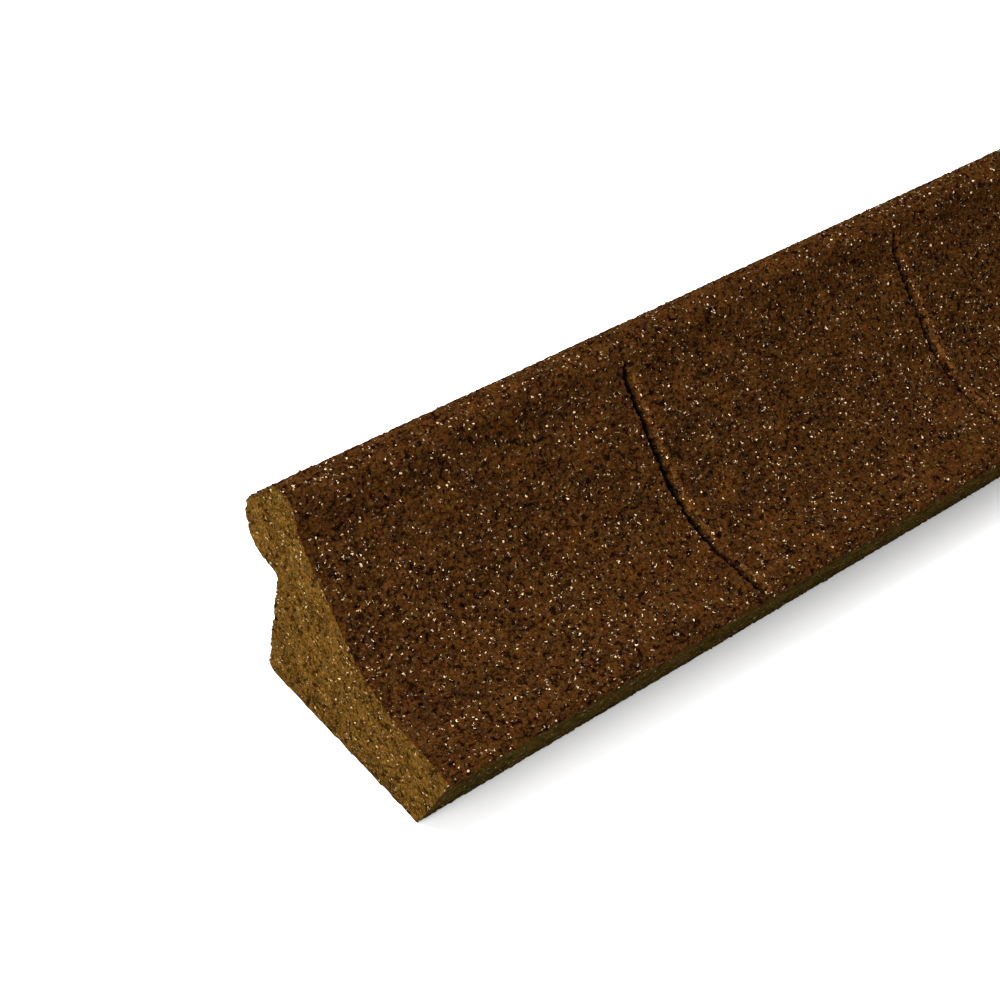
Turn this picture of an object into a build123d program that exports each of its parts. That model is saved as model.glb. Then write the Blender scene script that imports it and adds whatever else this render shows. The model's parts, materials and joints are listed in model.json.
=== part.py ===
from build123d import *
import os
from math import radians, tan

# A scored rubber curb edging strip: ten curb blocks in a row, moulded in one piece with a flexible
# web behind each score line, so that the strip bends sideways round a bed or a path.
#
# Millimetres. +X runs along the strip, -Y is its front (toe) side, +Z is up. The origin is under the
# middle of the strip, on the ground, half way between the toe's nose and the back of the bead.

# Strip
block_pitch = 121.92            # from one score line to the next
block_count = 10
height = 76.0                   # underside to the crest of the bead
base_depth = 73.5               # flat underside, front to back

# Toe: the low front edge, whose nose is its top corner; its face leans back from there to the ground
toe_reach = 12.6                # the nose's corner stands this far in front of the underside
toe_top = 29.9                  # height of the nose's corner, where the shelf starts
toe_nose_radius = 2.5
front_edge_radius = 2.0

# Shelf and hollow front face, which rises to the bead
valley_back = 49.2              # corner of shelf and face, in front of the underside's back edge
valley_height = 31.9
valley_radius = 46.0

# Bead: the rolled top edge, which hangs over the back
crease_back = 16.0              # crease in front of the bead, from the underside's back edge
crease_drop = 11.0              # below the crest
crease_radius = 11.0
crest_front = 11.5              # flat crest, both ends measured from the underside's back edge
crest_back = 2.7
crest_front_radius = 6.0
crest_back_radius = 14.0
bead_overhang = 13.2            # the bead's back corner stands out behind the underside
bead_nose_drop = 17.6
bead_nose_radius = 12.0
bead_under_overhang = 7.8
bead_under_drop = 31.6
bead_under_radius = 9.4
notch_back = 4.5                # neck under the bead, in front of the underside's back edge
notch_drop = 33.8
notch_radius = 1.0
back_edge_radius = 3.4

# Score lines and the webs behind them
score_width = 2.4
score_depth = 5.0               # inwards and downwards alike
score_foot = 27.0               # height where a score ends on the toe's nose
flex_angle = 10.0               # sideways bend at one score, either way, in degrees
web_neck = 1.0                  # web's width at the bending line
pivot_forward = 37.0            # bending line, in front of the underside's back edge

strip_length = block_pitch * block_count


def from_back(forward, drop):
    """A point of the section, measured forward from the underside's back edge and down from the
    crest. The section's own y starts at the front of the underside, and its z at the ground."""
    return (base_depth - forward, height - drop)


# The section's corners, anticlockwise seen from +X, each with the radius that rounds it
section_corners = [
    ((0, 0), front_edge_radius),
    ((base_depth, 0), back_edge_radius),
    (from_back(notch_back, notch_drop), notch_radius),
    (from_back(-bead_under_overhang, bead_under_drop), bead_under_radius),
    (from_back(-bead_overhang, bead_nose_drop), bead_nose_radius),
    (from_back(crest_back, 0), crest_back_radius),
    (from_back(crest_front, 0), crest_front_radius),
    (from_back(crease_back, crease_drop), crease_radius),
    ((base_depth - valley_back, valley_height), valley_radius),
    ((-toe_reach, toe_top), toe_nose_radius),
]


def rounding(index):
    """The radius wanted at a corner, or the largest that half of its shorter side leaves room for."""
    here, wanted = section_corners[index]
    before = section_corners[index - 1][0]
    after = section_corners[(index + 1) % len(section_corners)][0]
    side_in = Vector(here[0] - before[0], here[1] - before[1])
    side_out = Vector(after[0] - here[0], after[1] - here[1])
    half_turn = radians(side_in.get_angle(side_out)) / 2
    room = min(side_in.length, side_out.length) / 2
    return min(wanted, 0.98 * room / tan(half_turn))


with BuildSketch() as section:
    with BuildLine():
        Polyline(*[point for point, _ in section_corners], close=True)
    make_face()
    for index, (point, _) in enumerate(section_corners):
        at_corner = section.vertices().sort_by_distance((*point, 0))[0]
        fillet(at_corner, rounding(index))

# What a score line takes out of the section: a band under the front face, from the toe to the crest
with BuildSketch() as score_band:
    add(section.sketch)
    with Locations((score_depth, -score_depth)):
        add(section.sketch, mode=Mode.SUBTRACT)
    with BuildLine():
        Polyline(
            (-toe_reach, score_foot),
            (base_depth - crest_front, score_foot),
            (base_depth - crest_front, height),
            (-toe_reach, height),
            close=True,
        )
    make_face(mode=Mode.INTERSECT)

# The section's middle, front to back, becomes Y = 0
section_box = section.sketch.bounding_box()
middle = section_box.center().X
front = section_box.min.X - middle
back = section_box.max.X - middle
pivot_y = base_depth - pivot_forward - middle

flex_slope = tan(radians(flex_angle / 2))
front_gap = web_neck / 2 + (pivot_y - front) * flex_slope
back_gap = web_neck / 2 + (back - pivot_y) * flex_slope


def score_x(number):
    """Where score line 1, 2, 3 ... stands; 0 and block_count are the strip's two ends."""
    return number * block_pitch - strip_length / 2


def across(x):
    """The plane of the section at x: its own y runs along +Y and its z along +Z."""
    return Plane(origin=(x, -middle, 0), x_dir=(0, 1, 0), z_dir=(1, 0, 0))


def end_outline(x, side):
    """Plan of a block's end: flat at the strip's ends, and two slopes from the bending line at a
    score. side is +1 for the block's far end and -1 for its near end, listed from front to back."""
    if abs(x) > strip_length / 2 - block_pitch / 2:
        return [(x, front), (x, back)]
    return [
        (x - side * front_gap, front),
        (x - side * web_neck / 2, pivot_y),
        (x - side * back_gap, back),
    ]


def cut_score(x):
    """Takes the score line at x out of the part being built."""
    with BuildSketch(across(x - score_width / 2)) as band:
        add(score_band.sketch)
    extrude(band.sketch, amount=score_width, mode=Mode.SUBTRACT)


def curb_block(number):
    """Block 1 is at the near end, -X."""
    near, far = score_x(number - 1), score_x(number)
    with BuildPart() as block:
        with BuildSketch(across(near)):
            add(section.sketch)
        extrude(amount=block_pitch)
        with BuildSketch(Plane.XY):
            with BuildLine():
                Polyline(*end_outline(near, -1), *reversed(end_outline(far, 1)), close=True)
            make_face()
        extrude(amount=height, mode=Mode.INTERSECT)
        for score in range(max(1, number - 1), min(number, block_count - 1) + 1):
            cut_score(score_x(score))
    return block


def flex_web(number):
    """The web behind score line 1, 2, 3 ..., which joins the blocks on both sides of it."""
    x = score_x(number)
    widest = max(front_gap, back_gap)
    with BuildPart() as web:
        with BuildSketch(across(x - widest)):
            add(section.sketch)
        extrude(amount=2 * widest)
        with BuildSketch(Plane.XY):
            with BuildLine():
                Polyline(*end_outline(x, 1), *reversed(end_outline(x, -1)), close=True)
            make_face()
        extrude(amount=height, mode=Mode.INTERSECT)
        cut_score(x)
    return web


os.makedirs("parts", exist_ok=True)
for number in range(1, block_count + 1):
    block = curb_block(number)
    block.part.label = f"curb_block_{number:02d}"
    export_step(block.part, f"parts/{block.part.label}.step")
for number in range(1, block_count):
    web = flex_web(number)
    web.part.label = f"flex_web_{number:02d}"
    export_step(web.part, f"parts/{web.part.label}.step")
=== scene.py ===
import json
from math import cos, hypot, radians, sin

import bpy
from mathutils import Matrix, Vector, geometry

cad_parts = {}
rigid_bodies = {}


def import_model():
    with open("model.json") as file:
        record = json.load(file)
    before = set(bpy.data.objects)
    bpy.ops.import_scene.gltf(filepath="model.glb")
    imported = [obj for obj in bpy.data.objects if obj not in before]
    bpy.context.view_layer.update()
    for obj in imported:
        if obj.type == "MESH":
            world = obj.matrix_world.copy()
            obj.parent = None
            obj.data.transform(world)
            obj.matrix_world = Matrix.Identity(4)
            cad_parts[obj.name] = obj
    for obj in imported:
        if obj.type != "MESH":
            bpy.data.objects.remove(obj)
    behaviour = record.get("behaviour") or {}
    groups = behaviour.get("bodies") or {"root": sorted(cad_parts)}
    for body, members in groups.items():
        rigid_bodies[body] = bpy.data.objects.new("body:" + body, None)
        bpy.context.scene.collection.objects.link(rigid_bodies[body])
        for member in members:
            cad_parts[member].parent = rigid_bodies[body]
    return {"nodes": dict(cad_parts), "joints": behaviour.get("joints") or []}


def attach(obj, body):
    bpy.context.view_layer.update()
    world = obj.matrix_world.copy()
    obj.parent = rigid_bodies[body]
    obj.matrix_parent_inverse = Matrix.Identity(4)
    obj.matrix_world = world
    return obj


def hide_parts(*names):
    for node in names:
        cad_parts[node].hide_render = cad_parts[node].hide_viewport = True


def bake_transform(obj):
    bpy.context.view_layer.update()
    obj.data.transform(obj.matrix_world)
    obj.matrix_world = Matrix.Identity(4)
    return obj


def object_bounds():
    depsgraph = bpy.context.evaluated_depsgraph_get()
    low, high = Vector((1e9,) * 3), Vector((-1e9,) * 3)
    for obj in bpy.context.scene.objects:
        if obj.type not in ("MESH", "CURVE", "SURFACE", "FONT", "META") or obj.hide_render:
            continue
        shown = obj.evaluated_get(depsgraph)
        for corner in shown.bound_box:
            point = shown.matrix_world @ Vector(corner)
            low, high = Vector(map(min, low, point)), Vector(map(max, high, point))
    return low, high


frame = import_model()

# Rubber curb edging strip: brown rubber crumb pressed into a long low curb, scored across so that it
# bends. Metres. +X runs along the strip, -Y is its front and +Z is up.

cad_low, cad_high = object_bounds()
scene = bpy.context.scene


# --- The moulding's section --------------------------------------------------------------------
# The strip is one moulding with one section from end to end: bead, hollow face, shelf, toe, flat
# underside, upright back and a notch under the bead. The section is read off the near end face.

rim_step = 0.0007           # along the section, about half a crumb
under_step = 0.002          # the same on the flat underside
face_step = 0.0011          # inside an end face
flush = 1e-5                # nearer than this to a plane counts as on it

blocks = sorted(n for n in frame["nodes"] if n.startswith("curb_block"))
webs = sorted(n for n in frame["nodes"] if n.startswith("flex_web"))
strip_start, strip_end = cad_low.x, cad_high.x
pitch = (strip_end - strip_start) / len(blocks)


def section_rim():
    """The near end face's outline as (y, z) points, from the toe over the bead and back underneath."""
    mesh = frame["nodes"][blocks[0]].data
    edges = set()
    for face in mesh.polygons:
        corners = [mesh.vertices[i].co for i in face.vertices]
        if max(c.x for c in corners) < strip_start + flush:
            keys = [(round(c.y, 6), round(c.z, 6)) for c in corners]
            edges.update(zip(keys, keys[1:] + keys[:1]))
    following = dict(e for e in edges if (e[1], e[0]) not in edges)
    rim = [min(following)]
    while following[rim[-1]] != rim[0]:
        rim.append(following[rim[-1]])
    return rim


def spaced(rim):
    """The same closed outline with a point at every step, shorter above than on the underside."""
    points = []
    for (y0, z0), (y1, z1) in zip(rim, rim[1:] + rim[:1]):
        length = hypot(y1 - y0, z1 - z0)
        step = under_step if max(z0, z1) < flush else rim_step
        count = max(1, round(length / step))
        points += [(y0 + (y1 - y0) * i / count, z0 + (z1 - z0) * i / count) for i in range(count)]
    return points


def inside(y, z, rim):
    """True where a point lies within the outline."""
    crossings = 0
    for (y0, z0), (y1, z1) in zip(rim, rim[1:] + rim[:1]):
        if (z0 > z) != (z1 > z) and y < y0 + (z - z0) * (y1 - y0) / (z1 - z0):
            crossings += 1
    return crossings % 2 == 1


def ramp(value, low, high):
    """0 below low, 1 above high, and smooth between."""
    t = min(1.0, max(0.0, (value - low) / (high - low)))
    return t * t * (3 - 2 * t)


toe_top = cad_low.z + 0.0270        # the toe's smoother band ends here, and so do the scores
toe_foot_y = cad_low.y + 0.0114     # front of the flat underside
crease_z = cad_low.z + 0.0650       # crease under the bead's front
crest_y = cad_low.y + 0.0734        # front of the bead's crest
bead_back_y = cad_low.y + 0.0871    # the score stops here
full_score_z = 0.036                # the score has its whole depth from here up to the bead
shelf_score = 0.62                  # share of that depth on the shelf
bead_loss, crest_loss = 0.6, 0.25   # what the score loses on the bead's front, and at its crest


def score_share(y, z):
    """How much of the score's depth a point of the outline gets."""
    if y > bead_back_y or (y > crest_y and z < crease_z):
        return 0.0
    on_bead = 1 - bead_loss * ramp(z, crease_z, crease_z + 0.006)
    on_bead -= crest_loss * ramp(y, crest_y - 0.004, crest_y)
    on_shelf = shelf_score + (1 - shelf_score) * ramp(z, toe_top, full_score_z)
    return on_bead * on_shelf * ramp(z, toe_top - 0.001, toe_top + 0.001)


def toe_share(y, z):
    """1 on the toe's smoother band, 0 above it and behind."""
    return (1 - ramp(z, toe_top - 0.003, toe_top)) * (1 - ramp(y, toe_foot_y, toe_foot_y + 0.01))


def section_face(name, inner_step=None):
    """The section as a flat triangulated face at X = 0, with points inside it where a step is given."""
    rim = spaced(section_rim())
    points = [Vector(p) for p in rim]
    if inner_step:
        rows = int((cad_high.z - cad_low.z) / inner_step)
        columns = int((cad_high.y - cad_low.y) / inner_step)
        coarse = rim[::3]
        for row in range(rows):
            z = cad_low.z + (row + 0.5) * inner_step
            for column in range(columns):
                y = cad_low.y + (column + 0.25 + 0.5 * (row % 2)) * inner_step
                if inside(y, z, coarse) and min(hypot(y - p[0], z - p[1]) for p in coarse) > inner_step:
                    points.append(Vector((y, z)))
    loop = [(i, (i + 1) % len(rim)) for i in range(len(rim))]
    corners, _, faces, *_ = geometry.delaunay_2d_cdt(points, loop, [], 1, 1e-7)
    mesh = bpy.data.meshes.new(name)
    mesh.from_pydata([(0, c.x, c.y) for c in corners], [], [f[::-1] for f in faces])
    for label, share in (("score_share", score_share), ("toe_share", toe_share)):
        values = mesh.attributes.new(label, "FLOAT", "POINT")
        for corner, value in zip(corners, values.data):
            value.value = share(corner.x, corner.y)
    face = bpy.data.objects.new(name, mesh)
    scene.collection.objects.link(face)
    return face


end_face = section_face("end_face", face_step)
cut_face = section_face("cut_face")


# --- Rubber crumb ------------------------------------------------------------------------------
# Shredded tyre rubber, about 1 to 2 mm, coated in a brown binder and pressed. Crumbs show as angular
# facets with painted shade in the gaps between them; a few are bare and pale, with painted glints
# among them, or wet with binder and catch the light.

def node(tree, kind, inputs=None, **settings):
    """A new node with its settings made and its named inputs filled or linked."""
    made = tree.nodes.new(kind)
    for name, value in settings.items():
        setattr(made, name, value)
    for key, value in (inputs or {}).items():
        socket = made.inputs[key] if isinstance(key, int) else next(
            s for s in made.inputs if s.name == key and s.enabled)
        if isinstance(value, bpy.types.NodeSocket):
            tree.links.new(value, socket)
        else:
            socket.default_value = value
    return made


def out(made, name=0):
    """A node's output by name or number."""
    return made.outputs[name] if isinstance(name, int) else next(
        s for s in made.outputs if s.name == name and s.enabled)


def calc(tree, operation, *values):
    """The result of a Math node."""
    return out(node(tree, "ShaderNodeMath", dict(enumerate(values)), operation=operation))


def vector_calc(tree, operation, *values):
    """The result of a Vector Math node."""
    made = node(tree, "ShaderNodeVectorMath", dict(enumerate(values)), operation=operation)
    return out(made, "Value") if operation in ("DOT_PRODUCT", "LENGTH") else out(made, "Vector")


def scaled(tree, vector, factor):
    """A vector times a number."""
    made = node(tree, "ShaderNodeVectorMath", {"Vector": vector, "Scale": factor}, operation="SCALE")
    return out(made, "Vector")


def map_range(tree, value, low, high, to_low=0.0, to_high=1.0, kind="SMOOTHSTEP"):
    """A value carried from one range to another, clamped."""
    return out(node(tree, "ShaderNodeMapRange", {
        "Value": value, "From Min": low, "From Max": high, "To Min": to_low, "To Max": to_high,
    }, interpolation_type=kind))


def mixed(tree, factor, first, second):
    """Two colours mixed by a factor."""
    made = node(tree, "ShaderNodeMix", {"Factor": factor, "A": first, "B": second}, data_type="RGBA")
    return out(made, "Result")


def socket(tree, name, kind, value=None, side="INPUT"):
    """A named socket on a node group."""
    made = tree.interface.new_socket(name, in_out=side, socket_type=kind)
    if value is not None:
        made.default_value = value
    return made


shred_scale = 1300.0        # noise that tears the crumbs' outlines, per metre
shred_reach = 0.0015        # and how far it pulls them
patch_scale = 110.0         # lighter and darker patches
pit_scale = 620.0           # painted shade in open pits between crumbs
gap_reach = 0.14            # half width of a gap's painted shade, as a share of a crumb
crumb_tone, grit_tone, patch_tone = 0.35, 0.55, 0.7     # what each adds to a point's lightness
crumb_hue, grit_hue = 0.6, 0.4                          # and to its brown or olive hue
# pale flecks, partly painted glints: few of them are fully pale
pale_and_glint_falloff = 1.6
grey = (0.5, 0.5, 0.5)


def crumb_pattern():
    """Shader group: crumbs with a random tint and facet each, painted shade in the gaps between them, and
    pale flecks, partly painted glints.
    """
    tree = bpy.data.node_groups.new("crumb_pattern", "ShaderNodeTree")
    for name, kind, value in (
        ("Crumb Size", "NodeSocketFloat", 0.0016),
        ("Grit Size", "NodeSocketFloat", 0.0007),
        ("Dark", "NodeSocketColor", (0, 0, 0, 1)),
        ("Brown", "NodeSocketColor", (0, 0, 0, 1)),
        ("Olive", "NodeSocketColor", (0, 0, 0, 1)),
        ("Pale And Glint", "NodeSocketColor", (0, 0, 0, 1)),
        ("Pale Share", "NodeSocketFloat", 0.05),
        ("Gap Shade", "NodeSocketFloat", 0.6),
        ("Facet Tilt", "NodeSocketFloat", 0.5),
        ("Dull", "NodeSocketFloat", 0.7),
        ("Shiny", "NodeSocketFloat", 0.3),
    ):
        socket(tree, name, kind, value)
    socket(tree, "Color", "NodeSocketColor", side="OUTPUT")
    socket(tree, "Roughness", "NodeSocketFloat", side="OUTPUT")
    socket(tree, "Normal", "NodeSocketVector", side="OUTPUT")
    given = node(tree, "NodeGroupInput").outputs
    place = out(node(tree, "ShaderNodeAttribute", attribute_name="rest_place"), "Vector")
    crumb_scale = calc(tree, "DIVIDE", 1.0, given["Crumb Size"])
    grit_scale = calc(tree, "DIVIDE", 1.0, given["Grit Size"])
    shred = node(tree, "ShaderNodeTexNoise", {"Vector": place, "Scale": shred_scale, "Detail": 1.0})
    shred = scaled(tree, vector_calc(tree, "SUBTRACT", out(shred, "Color"), grey), shred_reach)
    torn = vector_calc(tree, "ADD", place, shred)
    crumb = node(tree, "ShaderNodeTexVoronoi", {"Vector": torn, "Scale": crumb_scale})
    edge = node(tree, "ShaderNodeTexVoronoi", {"Vector": torn, "Scale": crumb_scale},
                feature="DISTANCE_TO_EDGE")
    grit = node(tree, "ShaderNodeTexVoronoi", {"Vector": torn, "Scale": grit_scale})
    crumb_random = node(tree, "ShaderNodeSeparateColor", {"Color": out(crumb, "Color")})
    grit_random = node(tree, "ShaderNodeSeparateColor", {"Color": out(grit, "Color")})
    patch = node(tree, "ShaderNodeTexNoise", {"Vector": place, "Scale": patch_scale, "Detail": 4.0})
    pit = node(tree, "ShaderNodeTexNoise", {"Vector": place, "Scale": pit_scale, "Detail": 2.0})
    hue = calc(tree, "ADD", calc(tree, "MULTIPLY", crumb_random.outputs[2], crumb_hue),
               calc(tree, "MULTIPLY", grit_random.outputs[2], grit_hue))
    brown = mixed(tree, map_range(tree, hue, 0.35, 0.65), given["Brown"], given["Olive"])
    tone = calc(tree, "ADD",
                calc(tree, "MULTIPLY", crumb_random.outputs[0], crumb_tone),
                calc(tree, "MULTIPLY", grit_random.outputs[0], grit_tone))
    tone = calc(tree, "ADD", tone,
                calc(tree, "MULTIPLY", calc(tree, "SUBTRACT", out(patch, 0), 0.5), patch_tone))
    colour = mixed(tree, map_range(tree, tone, 0.1, 0.95, kind="LINEAR"), given["Dark"], brown)
    # painted shade in the gaps and open pits between crumbs
    gap = map_range(tree, out(edge, "Distance"), 0.0, gap_reach, 1.0, 0.0)
    gap = calc(tree, "MAXIMUM", calc(tree, "MULTIPLY", gap, crumb_random.outputs[1]),
               map_range(tree, out(pit, 0), 0.47, 0.36))
    shade = calc(tree, "SUBTRACT", 1.0, calc(tree, "MULTIPLY", gap, given["Gap Shade"]))
    colour = scaled(tree, colour, shade)
    # pale flecks, partly painted glints that stand in for highlights
    pale_from = calc(tree, "SUBTRACT", 1.0, given["Pale Share"])
    pale = map_range(tree, grit_random.outputs[1], pale_from, 1.0, kind="LINEAR")
    colour = mixed(tree, calc(tree, "POWER", pale, pale_and_glint_falloff), colour, given["Pale And Glint"])
    facet = vector_calc(tree, "SUBTRACT", out(crumb, "Color"), grey)
    chip = vector_calc(tree, "SUBTRACT", out(grit, "Color"), grey)
    tilt = scaled(tree, vector_calc(tree, "ADD", facet, chip), given["Facet Tilt"])
    surface = node(tree, "ShaderNodeNewGeometry")
    normal = vector_calc(tree, "NORMALIZE", vector_calc(tree, "ADD", out(surface, "Normal"), tilt))
    rough = map_range(tree, grit_random.outputs[2], 0.0, 1.0, given["Shiny"], given["Dull"], "LINEAR")
    node(tree, "NodeGroupOutput", {"Color": colour, "Roughness": rough, "Normal": normal})
    return tree


crumbs = crumb_pattern()


def rubber(name, values, specular):
    """A rubber material made with the crumb pattern."""
    material = bpy.data.materials.new(name)
    material.use_nodes = True
    tree = material.node_tree
    shader = tree.nodes["Principled BSDF"]
    shader.inputs["Specular IOR Level"].default_value = specular
    pattern = tree.nodes.new("ShaderNodeGroup")
    pattern.node_tree = crumbs
    for label, value in values.items():
        pattern.inputs[label].default_value = value
    tree.links.new(pattern.outputs["Color"], shader.inputs["Base Color"])
    tree.links.new(pattern.outputs["Roughness"], shader.inputs["Roughness"])
    tree.links.new(pattern.outputs["Normal"], shader.inputs["Normal"])
    return material, tree, shader, pattern


toe_binder_and_shade = 0.72           # how much the toe's band is covered with binder, darkened as painted shade


def moulded_rubber():
    """The moulded surfaces: dark brown, olive and streaky on the toe's band with painted shade, near black
    painted shade in the scores, and painted light on each score's far wall.
    """
    material, tree, shader, pattern = rubber("moulded_rubber", {
        "Crumb Size": 0.0011, "Grit Size": 0.00043,
        "Dark": (0.011, 0.0040, 0.0020, 1), "Brown": (0.088, 0.0282, 0.0048, 1),
        "Olive": (0.076, 0.0330, 0.0058, 1),
        "Pale And Glint": (0.66, 0.50, 0.31, 1), "Pale Share": 0.022,
        "Gap Shade": 0.85, "Facet Tilt": 0.7, "Dull": 0.8, "Shiny": 0.3,
    }, 0.0)
    toe = out(node(tree, "ShaderNodeAttribute", attribute_name="toe_share"), "Fac")
    score = out(node(tree, "ShaderNodeAttribute", attribute_name="in_score"), "Fac")
    far_wall_light_and_pale = out(node(tree, "ShaderNodeAttribute", attribute_name="score_lip"), "Fac")
    place = out(node(tree, "ShaderNodeAttribute", attribute_name="rest_place"), "Vector")
    # the toe's band: olive binder, darkened as painted shade on this face that looks down and forward
    drawn = node(tree, "ShaderNodeTexNoise", {
        "Vector": vector_calc(tree, "MULTIPLY", place, (0.3, 1.0, 1.0)), "Scale": 700.0, "Detail": 3.0})
    binder = mixed(tree, map_range(tree, out(drawn, 0), 0.36, 0.64),
                   (0.0085, 0.0075, 0.0018, 1), (0.0370, 0.0270, 0.0055, 1))
    colour = mixed(tree, calc(tree, "MULTIPLY", toe, toe_binder_and_shade), pattern.outputs["Color"], binder)
    # painted light on the score's far wall, partly the paler cut rubber there
    colour = scaled(tree, colour, calc(tree, "ADD", 1.0, far_wall_light_and_pale))
    # painted shade, near black, in the score
    painted_score_shade = map_range(tree, score, 0.08, 0.6)
    colour = mixed(tree, painted_score_shade, colour, (0.0036, 0.0024, 0.0009, 1))
    tree.links.new(colour, shader.inputs["Base Color"])
    return material


def end_rubber():
    """The ends, where the strip is trimmed: paler and finer, because the binder's skin is cut away."""
    return rubber("end_rubber", {
        "Crumb Size": 0.0009, "Grit Size": 0.00042,
        "Dark": (0.020, 0.0080, 0.0010, 1), "Brown": (0.175, 0.079, 0.0140, 1),
        "Olive": (0.145, 0.080, 0.0140, 1),
        "Pale And Glint": (0.60, 0.46, 0.24, 1), "Pale Share": 0.02,
        "Gap Shade": 0.75, "Facet Tilt": 0.5, "Dull": 0.8, "Shiny": 0.4,
    }, 0.0)[0]


def proud_crumb():
    """Crumbs that stand out of the surface: a tint each, some bare and pale with painted glints, most
    glossy with binder.
    """
    material, _, shader, _ = rubber("proud_crumb", {
        "Crumb Size": 0.0011, "Grit Size": 0.0006,
        "Dark": (0.010, 0.0036, 0.0005, 1), "Brown": (0.080, 0.029, 0.0045, 1),
        "Olive": (0.070, 0.034, 0.0050, 1),
        "Pale And Glint": (0.60, 0.46, 0.29, 1), "Pale Share": 0.03,
        "Gap Shade": 0.3, "Facet Tilt": 0.35, "Dull": 0.6, "Shiny": 0.22,
    }, 0.2)
    shader.inputs["Specular Tint"].default_value = (1.0, 0.84, 0.6, 1)
    return material


# --- The moulding tree -------------------------------------------------------------------------
# The section swept along X, pressed with crumbs and scored, as a Geometry Nodes tree. Every stretch
# of the strip is made by it. The pressed pattern depends on place alone, so that stretches match.

crowd_reach = 0.1           # stations crowd together this near a score, as a share of half a stretch
crumb_lean = 0.9            # how far a crumb tilts
sunk_falloff = 1.5          # few crumbs lie deep, most lie near the surface
crumb_rounding = 1.3        # how much a crumb falls off towards its gaps
toe_calm = 0.55             # how much of the relief the toe's smoother band loses
swell_scale, waver_scale = 60.0, 160.0      # noises for the uneven surface and the score's line
smooth_below = radians(38)  # edges flatter than this are shaded smooth
underside_z = -0.8          # normals that point down more than this belong to the underside
end_x = 0.985               # and those along X more than this to an end or a cut
toe_bare, end_bare = 0.8, 0.65              # share of proud crumbs missing on the toe and the ends
crumb_dent = 0.35           # how far a proud crumb's corners are pushed, as a share of its size
full_turn = 6.283
proud_least, proud_most = (0.4, 0.35, 0.3), (1.4, 1.0, 0.8)
weld = 1e-6


def named(tree, name, kind="FLOAT"):
    """A stored attribute, read by name."""
    return out(node(tree, "GeometryNodeInputNamedAttribute", {"Name": name}, data_type=kind), "Attribute")


def stored(tree, shape, name, value, kind="FLOAT"):
    """The geometry with a value stored on its points by name."""
    return out(node(tree, "GeometryNodeStoreNamedAttribute", {
        "Geometry": shape, "Name": name, "Value": value}, data_type=kind, domain="POINT"))


def sampled(tree, shape, value, index, kind="FLOAT_VECTOR"):
    """A value read off another geometry at an index."""
    return out(node(tree, "GeometryNodeSampleIndex", {
        "Geometry": shape, "Value": value, "Index": index}, data_type=kind))


def moved(tree, shape, **where):
    """The geometry with its points at a new Position, or pushed by an Offset."""
    return out(node(tree, "GeometryNodeSetPosition", {"Geometry": shape, **where}))


def coated(tree, shape, material):
    """The geometry with a material."""
    return out(node(tree, "GeometryNodeSetMaterial", {"Geometry": shape, "Material": material}))


def random_vector(tree, low, high, seed):
    """A random vector for each point."""
    return out(node(tree, "FunctionNodeRandomValue", {"Min": low, "Max": high, "Seed": seed},
                    data_type="FLOAT_VECTOR"), "Value")


def part_of(tree, vector, axis):
    """One part of a vector: X, Y or Z."""
    return out(node(tree, "ShaderNodeSeparateXYZ", {0: vector}), axis)


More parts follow.
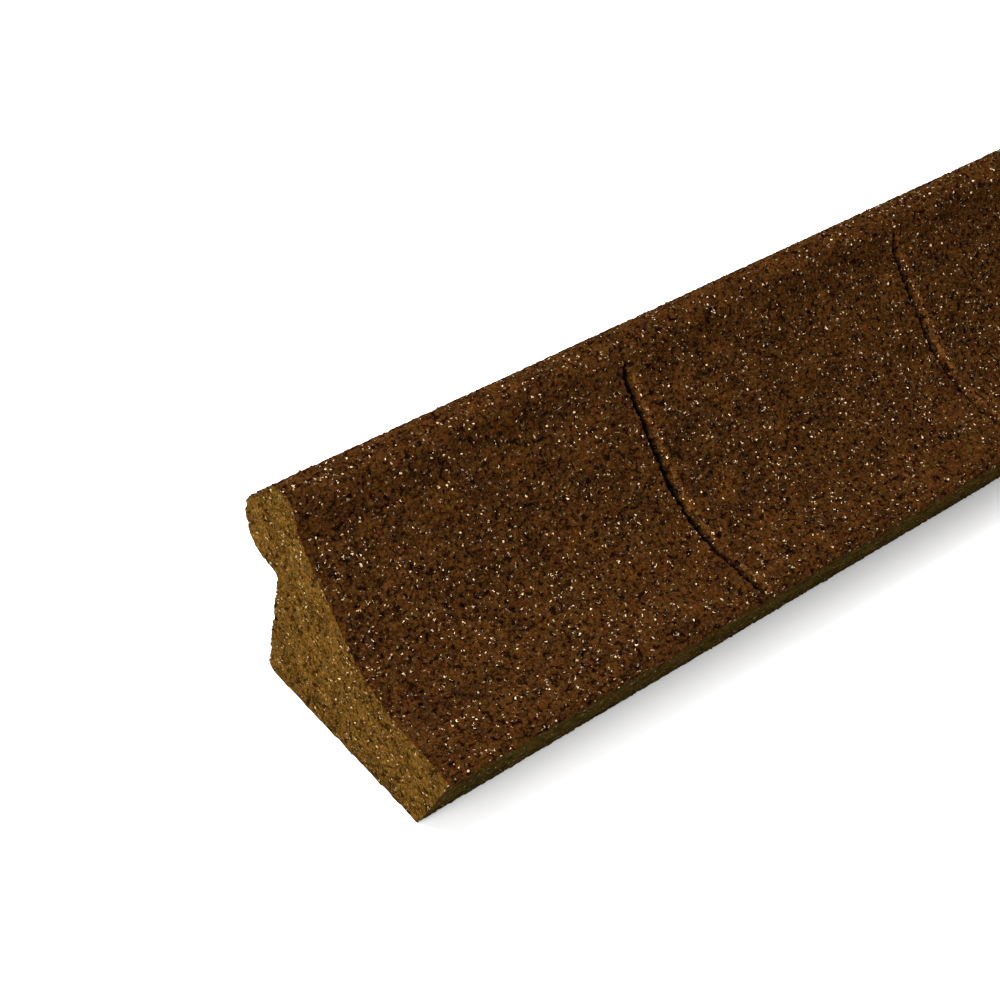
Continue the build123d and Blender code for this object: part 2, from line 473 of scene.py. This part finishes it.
def moulding_tree():
    """Geometry Nodes group: sweeps the section between two places and gives it its crumb surface."""
    tree = bpy.data.node_groups.new("curb_moulding", "GeometryNodeTree")
    tree.is_modifier = True
    socket(tree, "Geometry", "NodeSocketGeometry")
    for name, kind, value in (
        ("End Face", "NodeSocketObject", None),
        ("Cut Face", "NodeSocketObject", None),
        ("Start", "NodeSocketFloat", 0.0),
        ("End", "NodeSocketFloat", 0.1),
        ("Stations", "NodeSocketInt", 100),
        ("Ends Here", "NodeSocketFloat", 0.0),
        ("Crowding", "NodeSocketFloat", 0.6),
        ("Crumb Size", "NodeSocketFloat", 0.0016),
        ("Crumb Relief", "NodeSocketFloat", 0.00035),
        ("Unevenness", "NodeSocketFloat", 0.0003),
        ("Score Depth", "NodeSocketFloat", 0.0055),
        ("Score Width", "NodeSocketFloat", 0.0029),
        ("Score Waver", "NodeSocketFloat", 0.0008),
        ("Proud Crumbs", "NodeSocketFloat", 36000.0),
        ("Proud Size", "NodeSocketFloat", 0.0005),
        ("Seed", "NodeSocketInt", 1),
        ("Moulded", "NodeSocketMaterial", None),
        ("Trimmed", "NodeSocketMaterial", None),
        ("Proud", "NodeSocketMaterial", None),
    ):
        socket(tree, name, kind, value)
    socket(tree, "Geometry", "NodeSocketGeometry", side="OUTPUT")
    given = node(tree, "NodeGroupInput").outputs
    cut = out(node(tree, "GeometryNodeObjectInfo", {"Object": given["Cut Face"]}), "Geometry")
    ends = out(node(tree, "GeometryNodeObjectInfo", {"Object": given["End Face"]}), "Geometry")
    position = out(node(tree, "GeometryNodeInputPosition"))
    neighbours = out(node(tree, "GeometryNodeInputMeshEdgeNeighbors"))
    rim_edge = out(node(tree, "FunctionNodeCompare", {2: neighbours, 3: 1},
                        data_type="INT", operation="EQUAL"))

    # the sides: a grid of stations by rim points, laid on the section's rim at each station
    rim = out(node(tree, "GeometryNodeMeshToCurve", {"Mesh": cut, "Selection": rim_edge}))
    rim_size = node(tree, "GeometryNodeAttributeDomainSize", {0: rim}, component="CURVE")
    rim_count = out(rim_size, "Point Count")
    around = calc(tree, "ADD", rim_count, 1.0)
    grid = out(node(tree, "GeometryNodeMeshGrid", {
        "Vertices X": given["Stations"], "Vertices Y": around}), "Mesh")
    index = out(node(tree, "GeometryNodeInputIndex"))
    station = calc(tree, "FLOOR", calc(tree, "DIVIDE", calc(tree, "ADD", index, 0.5), around))
    rim_index = calc(tree, "SUBTRACT", index, calc(tree, "MULTIPLY", station, around))
    rim_index = calc(tree, "MODULO", rim_index, rim_count)
    last = calc(tree, "SUBTRACT", given["Stations"], 1.0)
    along = calc(tree, "SUBTRACT", calc(tree, "MULTIPLY", calc(tree, "DIVIDE", station, last), 2.0), 1.0)
    near_score = calc(tree, "POWER", calc(tree, "DIVIDE", along, crowd_reach), 2.0)
    near_score = calc(tree, "EXPONENT", calc(tree, "MULTIPLY", near_score, -1.0))
    crowded = calc(tree, "SUBTRACT", 1.0, calc(tree, "MULTIPLY", near_score, given["Crowding"]))
    along = calc(tree, "MULTIPLY", along, crowded)
    middle = calc(tree, "MULTIPLY", calc(tree, "ADD", given["Start"], given["End"]), 0.5)
    half = calc(tree, "MULTIPLY", calc(tree, "SUBTRACT", given["End"], given["Start"]), 0.5)
    x = calc(tree, "ADD", middle, calc(tree, "MULTIPLY", along, half))
    on_rim = sampled(tree, rim, position, rim_index)
    laid = out(node(tree, "ShaderNodeCombineXYZ", {
        "X": x, "Y": part_of(tree, on_rim, "Y"), "Z": part_of(tree, on_rim, "Z")}))
    sides = out(node(tree, "GeometryNodeFlipFaces", {0: grid}))
    for label in ("score_share", "toe_share"):
        share = sampled(tree, rim, named(tree, label), rim_index, "FLOAT")
        sides = stored(tree, sides, label, share)
    sides = moved(tree, sides, Position=laid)
    sides = out(node(tree, "GeometryNodeMergeByDistance", {"Geometry": sides, "Distance": weld}))
    normal = out(node(tree, "GeometryNodeInputNormal"), 0)
    sides = stored(tree, sides, "outward", normal, "FLOAT_VECTOR")
    sides = coated(tree, sides, given["Moulded"])

    # the two ends: the strip's own trimmed faces, or plain cuts between two stretches
    parts = [sides]
    for place, side in ((given["Start"], -1.0), (given["End"], 1.0)):
        own = out(node(tree, "FunctionNodeCompare", {0: given["Ends Here"], 1: side, 12: 0.1},
                       data_type="FLOAT", operation="EQUAL"))
        face = out(node(tree, "GeometryNodeSwitch", {"Switch": own, "False": cut, "True": ends},
                        input_type="GEOMETRY"))
        offset = out(node(tree, "ShaderNodeCombineXYZ", {"X": place}))
        face = moved(tree, face, Offset=offset)
        nearest = out(node(tree, "GeometryNodeSampleNearest", {0: sides}, domain="POINT"))
        rim_outward = sampled(tree, sides, named(tree, "outward", "FLOAT_VECTOR"), nearest)
        on_edge = out(node(tree, "GeometryNodeFieldOnDomain", {0: rim_edge},
                           data_type="BOOLEAN", domain="EDGE"))
        on_edge = calc(tree, "GREATER_THAN", on_edge, 0.5)
        direction = out(node(tree, "GeometryNodeSwitch", {
            "Switch": on_edge, "False": (side, 0.0, 0.0), "True": rim_outward}, input_type="VECTOR"))
        face = stored(tree, face, "outward", direction, "FLOAT_VECTOR")
        if side > 0:
            face = out(node(tree, "GeometryNodeFlipFaces", {0: face}))
        parts.append(coated(tree, face, given["Trimmed"]))
    joined = node(tree, "GeometryNodeJoinGeometry")
    for part in reversed(parts):
        tree.links.new(part, joined.inputs[0])
    skin = out(joined)

    # pressed crumbs: each lies a little deeper than its neighbour, is tilted, and falls off to its gaps
    crumb_scale = calc(tree, "DIVIDE", 1.0, given["Crumb Size"])
    crumb = node(tree, "ShaderNodeTexVoronoi", {"Vector": position, "Scale": crumb_scale})
    from_centre = vector_calc(tree, "SUBTRACT", position, out(crumb, "Position"))
    lean = vector_calc(tree, "SUBTRACT", out(crumb, "Color"), grey)
    leaning = calc(tree, "MULTIPLY", vector_calc(tree, "DOT_PRODUCT", lean, from_centre), crumb_lean)
    sunk = calc(tree, "POWER", part_of(tree, out(crumb, "Color"), "Z"), sunk_falloff)
    round_off = calc(tree, "MULTIPLY", calc(tree, "POWER", out(crumb, "Distance"), 2.0), crumb_rounding)
    relief = calc(tree, "MULTIPLY", calc(tree, "ADD", sunk, round_off), given["Crumb Relief"])
    relief = calc(tree, "SUBTRACT", relief, leaning)
    on_toe = named(tree, "toe_share")
    smooth_toe = calc(tree, "SUBTRACT", 1.0, calc(tree, "MULTIPLY", on_toe, toe_calm))
    relief = calc(tree, "MULTIPLY", relief, smooth_toe)
    swell = out(node(tree, "ShaderNodeTexNoise", {"Vector": position, "Scale": swell_scale, "Detail": 3.0}))
    swell = calc(tree, "MULTIPLY", swell, given["Unevenness"])
    relief = calc(tree, "MAXIMUM", calc(tree, "ADD", relief, swell), 0.0)

    # the score: a ragged cut at the stretch's middle, whose sides follow the crumbs; beyond counts
    # half widths from its line. Painted shade darkens the cut up to its far wall, and painted light
    # brightens that far wall, partly the paler cut rubber there
    waver = out(node(tree, "ShaderNodeTexNoise", {"Vector": position, "Scale": waver_scale, "Detail": 2.0}))
    waver = calc(tree, "MULTIPLY", calc(tree, "SUBTRACT", waver, 0.5), given["Score Waver"])
    here = part_of(tree, position, "X")
    there = part_of(tree, out(crumb, "Position"), "X")
    ragged = calc(tree, "ADD", calc(tree, "MULTIPLY", here, 0.6), calc(tree, "MULTIPLY", there, 0.4))
    beyond = calc(tree, "SUBTRACT", calc(tree, "ADD", ragged, waver), middle)
    share = named(tree, "score_share")
    width = calc(tree, "MULTIPLY", calc(tree, "ADD", calc(tree, "MULTIPLY", share, 0.6), 0.4),
                 calc(tree, "MULTIPLY", given["Score Width"], 0.5))
    beyond = calc(tree, "DIVIDE", beyond, width)
    share = calc(tree, "MULTIPLY", share, calc(tree, "GREATER_THAN", given["Score Depth"], 0.0))
    in_score = map_range(tree, calc(tree, "ABSOLUTE", beyond), 0.6, 1.15, 1.0, 0.0)
    in_score = calc(tree, "MULTIPLY", in_score, share)
    carve = calc(tree, "MULTIPLY", in_score, given["Score Depth"])
    shaded = calc(tree, "MULTIPLY", in_score, map_range(tree, beyond, 0.7, 1.2, 1.0, 0.0))
    # painted light on the score's far wall, partly the paler cut rubber there
    far_wall_light_and_pale = calc(tree, "MULTIPLY", map_range(tree, beyond, 0.8, 1.2),
               map_range(tree, beyond, 1.6, 3.0, 1.0, 0.0))
    # in_score carries the painted shade in the score; the painted light on its far wall is stored beside it
    skin = stored(tree, skin, "in_score", shaded)
    skin = stored(tree, skin, "score_lip", calc(tree, "MULTIPLY", far_wall_light_and_pale, share))
    pressed = scaled(tree, named(tree, "outward", "FLOAT_VECTOR"),
                     calc(tree, "MULTIPLY", calc(tree, "ADD", relief, carve), -1.0))
    skin = moved(tree, skin, Offset=pressed)
    skin = stored(tree, skin, "rest_place", position, "FLOAT_VECTOR")
    skin = out(node(tree, "GeometryNodeMergeByDistance", {"Geometry": skin, "Distance": weld}))
    angle = out(node(tree, "GeometryNodeInputMeshEdgeAngle"), 0)
    smooth = out(node(tree, "FunctionNodeCompare", {0: angle, 1: smooth_below},
                      data_type="FLOAT", operation="LESS_THAN"))
    skin = out(node(tree, "GeometryNodeSetShadeSmooth", {
        "Geometry": skin, "Shade Smooth": smooth}, domain="EDGE"))

    # crumbs that stand proud, everywhere but on the underside and at the cuts
    above = calc(tree, "GREATER_THAN", part_of(tree, normal, "Z"), underside_z)
    is_cut = calc(tree, "GREATER_THAN", calc(tree, "ABSOLUTE", part_of(tree, normal, "X")), end_x)
    between = calc(tree, "SUBTRACT", 1.0, calc(tree, "ABSOLUTE", given["Ends Here"]))
    outside = calc(tree, "SUBTRACT", 1.0, calc(tree, "MULTIPLY", is_cut, between))
    bare = calc(tree, "MAXIMUM", calc(tree, "MULTIPLY", named(tree, "toe_share"), toe_bare),
                calc(tree, "MULTIPLY", is_cut, end_bare))
    density = calc(tree, "MULTIPLY", given["Proud Crumbs"], calc(tree, "SUBTRACT", 1.0, bare))
    spots = node(tree, "GeometryNodeDistributePointsOnFaces", {
        "Mesh": skin, "Selection": calc(tree, "MULTIPLY", above, outside),
        "Density": density, "Seed": given["Seed"]}, distribute_method="RANDOM")
    ball = node(tree, "GeometryNodeMeshIcoSphere", {"Radius": given["Proud Size"], "Subdivisions": 1})
    dent = random_vector(tree, (-crumb_dent,) * 3, (crumb_dent,) * 3, 7)
    crumb_shape = moved(tree, out(ball, "Mesh"), Offset=scaled(tree, dent, given["Proud Size"]))
    turned = random_vector(tree, (0, 0, 0), (full_turn,) * 3, given["Seed"])
    size = random_vector(tree, proud_least, proud_most, given["Seed"])
    proud = out(node(tree, "GeometryNodeInstanceOnPoints", {
        "Points": out(spots, "Points"), "Instance": crumb_shape, "Rotation": turned, "Scale": size}))
    proud = out(node(tree, "GeometryNodeRealizeInstances", {"Geometry": proud}))
    proud = stored(tree, proud, "rest_place", position, "FLOAT_VECTOR")
    proud = coated(tree, proud, given["Proud"])
    everything = node(tree, "GeometryNodeJoinGeometry")
    tree.links.new(proud, everything.inputs[0])
    tree.links.new(skin, everything.inputs[0])
    node(tree, "NodeGroupOutput", {"Geometry": out(everything)})
    return tree


moulding = moulding_tree()
finishes = {"Moulded": moulded_rubber(), "Trimmed": end_rubber(), "Proud": proud_crumb()}
station_step = 0.0007       # along the strip, as fine as along the section


def stretch(name, start, end, **settings):
    """One stretch of the strip between two places, as a plain mesh."""
    stations = round((end - start) / station_step) + 1
    holder = bpy.data.objects.new(name + "_tree", bpy.data.meshes.new(name + "_tree"))
    scene.collection.objects.link(holder)
    modifier = holder.modifiers.new("moulding", "NODES")
    modifier.node_group = moulding
    values = {"Start": start, "End": end, "Stations": stations, "End Face": end_face,
              "Cut Face": cut_face, **finishes, **settings}
    for item in moulding.interface.items_tree:
        if item.in_out == "INPUT" and item.name in values:
            modifier[item.identifier] = values[item.name]
    evaluated = holder.evaluated_get(bpy.context.evaluated_depsgraph_get())
    mesh = bpy.data.meshes.new_from_object(evaluated)
    while None in mesh.materials[:]:
        mesh.materials.pop(index=mesh.materials[:].index(None))
    holder.modifiers.remove(modifier)
    bpy.data.objects.remove(holder)
    mesh.name = name
    piece = bpy.data.objects.new(name, mesh)
    scene.collection.objects.link(piece)
    return piece


# --- The strip, stretch by stretch -------------------------------------------------------------
# The strip is one piece of rubber. It is made in stretches that meet in the middle of each block,
# where nothing bends, and each scored stretch has its score line in its own middle.

bodies = [j["parent"] for j in frame["joints"]] + [frame["joints"][-1]["child"]]

near_end = stretch("near_end", strip_start, strip_start + pitch / 2, Crowding=0.0, Seed=100,
                   **{"Ends Here": -1.0, "Score Depth": 0.0, "Score Width": 0.0})
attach(near_end, bodies[0])
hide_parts(blocks[0])
for number, web in enumerate(webs):
    score = strip_start + pitch * (number + 1)
    bend = stretch(f"scored_stretch_{number + 1:02d}", score - pitch / 2, score + pitch / 2, Seed=number)
    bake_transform(bend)
    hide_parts(blocks[number], web)
far_end = stretch("far_end", strip_end - pitch / 2, strip_end, Crowding=0.0, Seed=200,
                  **{"Ends Here": 1.0, "Score Depth": 0.0, "Score Width": 0.0})
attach(far_end, bodies[-1])
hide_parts(blocks[-1])
for face in (end_face, cut_face):
    bpy.data.objects.remove(face)


# --- Floor, light and camera -------------------------------------------------------------------
# A plain pale floor under the strip, soft studio light from the near end and above with weaker fills
# from the far end and from behind, and a camera off the near end's front corner, looking down along it.

def floor():
    """A pale matt floor."""
    material = bpy.data.materials.new("pale_floor")
    material.use_nodes = True
    shader = material.node_tree.nodes["Principled BSDF"]
    shader.inputs["Base Color"].default_value = (0.9, 0.9, 0.9, 1)
    shader.inputs["Roughness"].default_value = 0.8
    bpy.ops.mesh.primitive_plane_add(size=30, location=(0, 0, cad_low.z))
    made = bpy.context.object
    made.name = "floor"
    made.data.materials.append(material)


def area_light(name, place, size, watts, target=(-0.45, 0, 0.03)):
    """A square soft light, aimed at the strip's near half unless a target is given."""
    lamp = bpy.data.lights.new(name, "AREA")
    lamp.size = size
    lamp.energy = watts
    made = bpy.data.objects.new(name, lamp)
    made.location = place
    made.rotation_euler = (Vector(target) - Vector(place)).to_track_quat("-Z", "Y").to_euler()
    scene.collection.objects.link(made)


lens_length = 71.08
camera_place = Vector((-0.2280, -0.2598, 0.4418))   # from the near end's front corner of the underside


def camera():
    """A long lens, held a little tilted."""
    azimuth, down, roll = radians(46.50), radians(42.46), radians(6.02)
    ahead = Vector((cos(azimuth), sin(azimuth), 0))
    right = Vector((sin(azimuth), -cos(azimuth), 0))
    up = sin(down) * ahead + Vector((0, 0, cos(down)))
    forward = cos(down) * ahead - Vector((0, 0, sin(down)))
    held_right = cos(roll) * right + sin(roll) * up
    held_up = cos(roll) * up - sin(roll) * right
    lens = bpy.data.cameras.new("camera")
    lens.lens = lens_length
    lens.clip_start = 0.01
    made = bpy.data.objects.new("camera", lens)
    corner = Vector((strip_start, toe_foot_y, cad_low.z))
    turn = Matrix((held_right, held_up, -forward)).transposed().to_4x4()
    made.matrix_world = Matrix.Translation(corner + camera_place) @ turn
    scene.collection.objects.link(made)
    scene.camera = made


floor()
area_light("key", (-1.15, -0.30, 0.55), 0.4, 7.4)
area_light("overhead", (-0.85, 0.3, 0.85), 0.5, 12.5)
area_light("far_fill", (0.9, -1.4, 1.2), 1.2, 6)
area_light("far_overhead", (0.45, 0.1, 0.9), 0.7, 13, target=(0.4, 0, 0))
area_light("behind", (-0.1, 1.3, 0.7), 0.9, 10, target=(0, 0, 0.03))
world = bpy.data.worlds.new("studio")
world.use_nodes = True
world.node_tree.nodes["Background"].inputs["Color"].default_value = (1, 1, 1, 1)
world.node_tree.nodes["Background"].inputs["Strength"].default_value = 0.6
scene.world = world
scene.view_settings.view_transform = "Standard"
camera()
